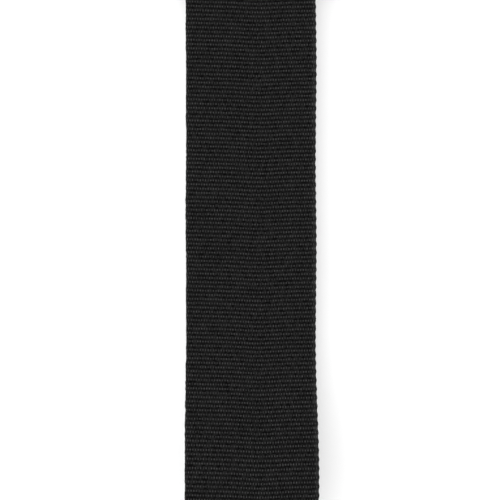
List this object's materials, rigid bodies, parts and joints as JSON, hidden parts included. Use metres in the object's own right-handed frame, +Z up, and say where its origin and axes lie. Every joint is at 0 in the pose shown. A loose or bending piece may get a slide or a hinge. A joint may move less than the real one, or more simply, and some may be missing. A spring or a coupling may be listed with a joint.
{
  "type": "guitar strap",
  "caption": "Adjustable woven guitar strap with a moulded slider, a rectangular ring and slotted leather ends, folded in layers and laid flat.",
  "frame": {"origin": "centre of the strap's footprint, on the surface it lies on", "axes": "+X across the webbing, +Y along the strap towards the front leather tab, +Z up"},
  "size_m": [0.062, 0.492, 0.0207],
  "materials": {
    "webbing": "black plain-woven webbing, matt",
    "leather": "black pebbled leather, satin",
    "slider_plastic": "black moulded plastic, fine spark texture",
    "ring_metal": "nickel-plated steel wire",
    "thread": "bonded polyester thread"
  },
  "bodies": {
    "root": {"main_webbing": "webbing", "rear_tab_upper_ply": "leather", "rear_tab_lower_ply": "leather", "rear_tab_edge_stitch": "thread", "rear_tab_box_stitch": "thread"},
    "bight": {"adjusting_run": "webbing", "ring_bight": "webbing"},
    "slider": {"slider": "slider_plastic", "return_webbing": "webbing", "slider_end_stitch": "thread"},
    "ring": {"ring": "ring_metal"},
    "front_tab": {"tail_webbing": "webbing", "front_tab_upper_ply": "leather", "front_tab_lower_ply": "leather", "front_tab_edge_stitch": "thread", "front_tab_box_stitch": "thread"}
  },
  "joints": [
    {"name": "length_adjust", "type": "slide", "parent": "root", "child": "bight", "axis": [0, 1, 0], "range_m": [0, 0.04], "deforming": ["adjusting_run"]},
    {"name": "slider_slide", "type": "slide", "parent": "bight", "child": "slider", "axis": [0, 1, 0], "range_m": [0, 0.04], "deforming": ["return_webbing"]},
    {"name": "ring_swing", "type": "hinge", "parent": "bight", "child": "ring", "pos_m": [0, 0.135, 0.0054], "axis": [1, 0, 0], "range_deg": [0, 75]},
    {"name": "tab_swing", "type": "hinge", "parent": "ring", "child": "front_tab", "pos_m": [0, 0.153, 0.0054], "axis": [1, 0, 0], "range_deg": [0, 100]}
  ],
  "couplings": [
    {"joint": "slider_slide", "follows": "length_adjust", "ratio": 1}
  ]
}
